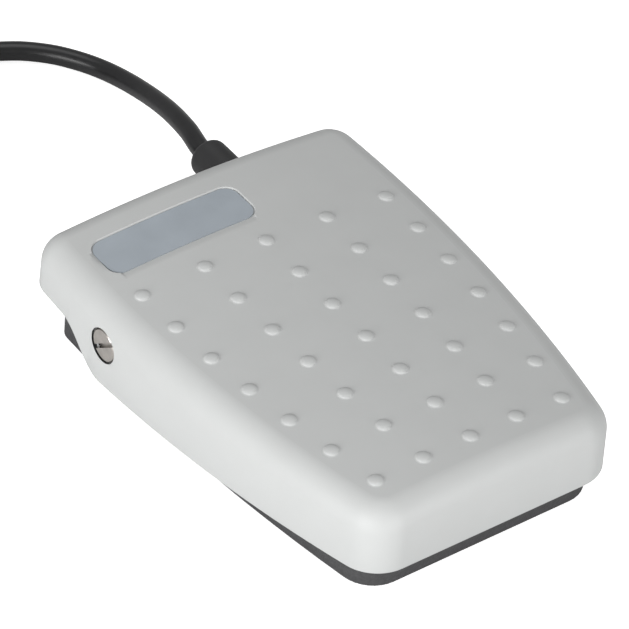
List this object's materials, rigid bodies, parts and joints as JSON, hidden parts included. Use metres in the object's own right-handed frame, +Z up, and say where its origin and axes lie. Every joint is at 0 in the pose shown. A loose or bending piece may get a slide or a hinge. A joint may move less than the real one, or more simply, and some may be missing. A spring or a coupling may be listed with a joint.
{
  "type": "foot switch",
  "caption": "Foot switch with a tapering hinged pedal over a low base tray, a snap-action switch inside and a trailing cable.",
  "frame": {"origin": "on the ground, under the middle of the pedal cover", "axes": "+X to the right seen from the user, +Y towards the cable end, +Z up"},
  "size_m": [0.1522, 0.2691, 0.0307],
  "materials": {
    "cover_grey": "fine matt moulding",
    "label_plate": "satin",
    "base_grey": "fine leather grain",
    "rubber": "matt",
    "screw_steel": "turned, dull",
    "brass": "turned",
    "spring_steel": "drawn wire",
    "switch_black": "satin",
    "switch_lid": "satin",
    "plunger_red": "smooth",
    "spring_bronze": "rolled strip",
    "contact_silver": "polished",
    "terminal_brass": "stamped strip",
    "zinc_steel": "zinc plated",
    "sleeve_black": "satin",
    "core_brown": "smooth",
    "core_black": "smooth",
    "core_blue": "smooth",
    "cable_black": "satin",
    "clamp_grey": "fine matt moulding",
    "bush_rubber": "matt",
    "tie_black": "satin",
    "tinned_copper": "tinned"
  },
  "bodies": {
    "base": {"base_tray": "base_grey", "rubber_feet": "rubber", "pivot_screw_left": "screw_steel", "pivot_screw_right": "screw_steel", "pivot_insert_left": "brass", "pivot_insert_right": "brass", "stop_buffer_left": "rubber", "stop_buffer_right": "rubber", "return_spring": "spring_steel", "switch_case": "switch_black", "switch_lid": "switch_lid", "common_terminal": "terminal_brass", "open_terminal": "terminal_brass", "closed_terminal": "terminal_brass", "fixed_contacts": "contact_silver", "switch_screws": "zinc_steel", "switch_nuts": "zinc_steel", "terminal_sleeves": "sleeve_black", "core_common": "core_brown", "core_open": "core_black", "core_closed": "core_blue", "inner_cable": "cable_black", "cable_clamp": "clamp_grey", "clamp_screws": "zinc_steel", "cable_bush": "bush_rubber", "cable_lead": "cable_black", "cable_coil": "cable_black", "cable_tail": "cable_black", "coil_tie": "tie_black", "free_core_common": "core_brown", "free_core_open": "core_black", "free_core_closed": "core_blue", "core_ferrules": "tinned_copper"},
    "pedal": {"pedal_cover": "cover_grey", "label_plate": "label_plate"},
    "plunger": {"switch_plunger": "plunger_red"},
    "blade": {"contact_blade": "spring_bronze", "moving_contact": "contact_silver"}
  },
  "joints": [
    {"name": "pedal_hinge", "type": "hinge", "parent": "base", "child": "pedal", "pos_m": [0, 0.0335, 0.016], "axis": [1, 0, 0], "range_deg": [0, 4], "stiffness_Nm_per_rad": 3, "springref_deg": -8.59, "deforming": ["return_spring"]},
    {"name": "plunger_slide", "type": "slide", "parent": "base", "child": "plunger", "axis": [0, 0, -1], "range_m": [0, 0.0018]},
    {"name": "blade_hinge", "type": "hinge", "parent": "base", "child": "blade", "pos_m": [-0.011, 0.0095, 0.018], "axis": [0, 1, 0], "range_deg": [0, 4]}
  ],
  "couplings": [
    {"joint": "plunger_slide", "follows": "pedal_hinge", "m_per_rad": 0.0255},
    {"joint": "blade_hinge", "follows": "pedal_hinge", "ratio": 1}
  ]
}
